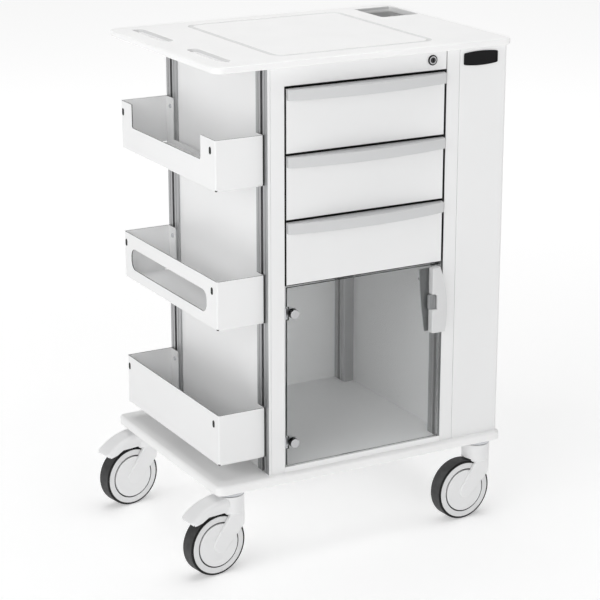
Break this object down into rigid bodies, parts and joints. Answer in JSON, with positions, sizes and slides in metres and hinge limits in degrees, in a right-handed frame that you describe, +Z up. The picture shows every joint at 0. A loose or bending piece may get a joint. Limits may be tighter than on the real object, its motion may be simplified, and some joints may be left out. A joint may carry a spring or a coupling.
{
  "type": "medication cart",
  "caption": "Ward medication cart with lockable drawers over a clear-doored cupboard, side bins, a worktop with hand slots and a utility well, on swivel casters.",
  "frame": {"origin": "centre of the overall plan envelope, on the floor", "axes": "+Z up, -Y out of the drawer fronts towards the user, +X to the user's right"},
  "size_m": [0.7086, 0.486, 0.993],
  "materials": {
    "white_board": "fine satin moulded plastic board",
    "white_paint": "white powder coat, fine texture",
    "tray_paint": "light grey powder coat",
    "liner_white": "satin white moulded plastic",
    "anodised": "satin anodised extrusion",
    "zinc": "bright zinc-plated steel",
    "polished": "polished plate",
    "charcoal": "dark gloss plastic",
    "clear": "clear acrylic sheet",
    "latch_white": "white moulded plastic",
    "latch_grey": "grey moulded plastic",
    "latch_plate": "pale translucent plastic",
    "pull_grey": "pale grey moulded plastic",
    "seal_rubber": "black foam rubber",
    "caster_white": "white glass-filled nylon",
    "wheel_white": "white nylon wheel disc",
    "tyre_grey": "dark grey non-marking tyre"
  },
  "bodies": {
    "cart": {"worktop": "white_board", "base_plate": "white_board", "posts": "anodised", "side_panels": "white_paint", "back_panel": "white_paint", "right_housing": "white_paint", "top_fascia": "white_paint", "front_stiles": "white_paint", "floor_pan": "white_paint", "drawer_deck": "white_paint", "slide_outer_rails": "zinc", "well_liner": "liner_white", "lock_body": "polished", "badge": "charcoal", "upper_bin": "white_paint", "middle_bin": "white_paint", "lower_bin": "white_paint", "bin_fixings": "zinc", "hinge_brackets": "zinc", "caster_heads": "zinc"},
    "upper_drawer": {"upper_drawer_front": "white_paint", "upper_drawer_box": "tray_paint", "upper_drawer_seal": "seal_rubber", "upper_drawer_pull": "pull_grey", "upper_drawer_rails": "zinc"},
    "middle_drawer": {"middle_drawer_front": "white_paint", "middle_drawer_box": "tray_paint", "middle_drawer_seal": "seal_rubber", "middle_drawer_pull": "pull_grey", "middle_drawer_rails": "zinc"},
    "lower_drawer": {"lower_drawer_front": "white_paint", "lower_drawer_box": "tray_paint", "lower_drawer_seal": "seal_rubber", "lower_drawer_pull": "pull_grey", "lower_drawer_rails": "zinc"},
    "door": {"door_panel": "clear", "door_knobs": "polished", "hinge_leaves": "zinc", "latch_housing": "latch_white", "latch_backplate": "latch_plate"},
    "lever": {"latch_lever": "latch_grey"},
    "plug": {"lock_plug": "polished"},
    "front_left_swivel": {"front_left_fork": "caster_white", "front_left_axle": "zinc"},
    "front_left_rolling": {"front_left_wheel": "wheel_white", "front_left_tyre": "tyre_grey"},
    "rear_left_swivel": {"rear_left_fork": "caster_white", "rear_left_axle": "zinc"},
    "rear_left_rolling": {"rear_left_wheel": "wheel_white", "rear_left_tyre": "tyre_grey"},
    "front_right_swivel": {"front_right_fork": "caster_white", "front_right_axle": "zinc"},
    "front_right_rolling": {"front_right_wheel": "wheel_white", "front_right_tyre": "tyre_grey"},
    "rear_right_swivel": {"rear_right_fork": "caster_white", "rear_right_axle": "zinc"},
    "rear_right_rolling": {"rear_right_wheel": "wheel_white", "rear_right_tyre": "tyre_grey"},
    "front_left_brake": {"front_left_pedal": "caster_white"},
    "rear_left_brake": {"rear_left_pedal": "caster_white"}
  },
  "joints": [
    {"name": "upper_drawer_slide", "type": "slide", "parent": "cart", "child": "upper_drawer", "axis": [0, -1, 0], "range_m": [0, 0.3]},
    {"name": "middle_drawer_slide", "type": "slide", "parent": "cart", "child": "middle_drawer", "axis": [0, -1, 0], "range_m": [0, 0.3]},
    {"name": "lower_drawer_slide", "type": "slide", "parent": "cart", "child": "lower_drawer", "axis": [0, -1, 0], "range_m": [0, 0.3]},
    {"name": "door_hinge", "type": "hinge", "parent": "cart", "child": "door", "pos_m": [-0.14016, -0.2145, 0.376], "axis": [0, 0, -1], "range_deg": [0, 95]},
    {"name": "latch_lever_pivot", "type": "hinge", "parent": "door", "child": "lever", "pos_m": [0.18714, -0.2235, 0.4845], "axis": [0, 0, 1], "range_deg": [0, 30], "stiffness_Nm_per_rad": 0.02},
    {"name": "lock_turn", "type": "hinge", "parent": "cart", "child": "plug", "pos_m": [0.17734, -0.207, 0.963], "axis": [0, 1, 0], "range_deg": [0, 90]},
    {"name": "front_left_swivel_turn", "type": "hinge", "parent": "cart", "child": "front_left_swivel", "pos_m": [-0.25266, -0.195, 0.15], "axis": [0, 0, 1], "continuous": true},
    {"name": "front_left_wheel_spin", "type": "hinge", "parent": "front_left_swivel", "child": "front_left_rolling", "pos_m": [-0.29029, -0.20029, 0.0625], "axis": [0.1392, -0.9903, 0], "continuous": true},
    {"name": "front_left_brake_press", "type": "hinge", "parent": "front_left_swivel", "child": "front_left_brake", "pos_m": [-0.28831, -0.20001, 0.143], "axis": [0.1392, -0.9903, 0], "range_deg": [0, 9]},
    {"name": "rear_left_swivel_turn", "type": "hinge", "parent": "cart", "child": "rear_left_swivel", "pos_m": [-0.25266, 0.205, 0.15], "axis": [0, 0, 1], "continuous": true},
    {"name": "rear_left_wheel_spin", "type": "hinge", "parent": "rear_left_swivel", "child": "rear_left_rolling", "pos_m": [-0.29009, 0.1984, 0.0625], "axis": [0.1736, -0.9848, 0], "continuous": true},
    {"name": "rear_left_brake_press", "type": "hinge", "parent": "rear_left_swivel", "child": "rear_left_brake", "pos_m": [-0.28812, 0.19875, 0.143], "axis": [0.1736, -0.9848, 0], "range_deg": [0, 9]},
    {"name": "front_right_swivel_turn", "type": "hinge", "parent": "cart", "child": "front_right_swivel", "pos_m": [0.31334, -0.195, 0.15], "axis": [0, 0, 1], "continuous": true},
    {"name": "front_right_wheel_spin", "type": "hinge", "parent": "front_right_swivel", "child": "front_right_rolling", "pos_m": [0.27541, -0.19732, 0.0625], "axis": [0.061, -0.9981, 0], "continuous": true},
    {"name": "rear_right_swivel_turn", "type": "hinge", "parent": "cart", "child": "rear_right_swivel", "pos_m": [0.31334, 0.205, 0.15], "axis": [0, 0, 1], "continuous": true},
    {"name": "rear_right_wheel_spin", "type": "hinge", "parent": "rear_right_swivel", "child": "rear_right_rolling", "pos_m": [0.27554, 0.20103, 0.0625], "axis": [0.1045, -0.9945, 0], "continuous": true}
  ]
}
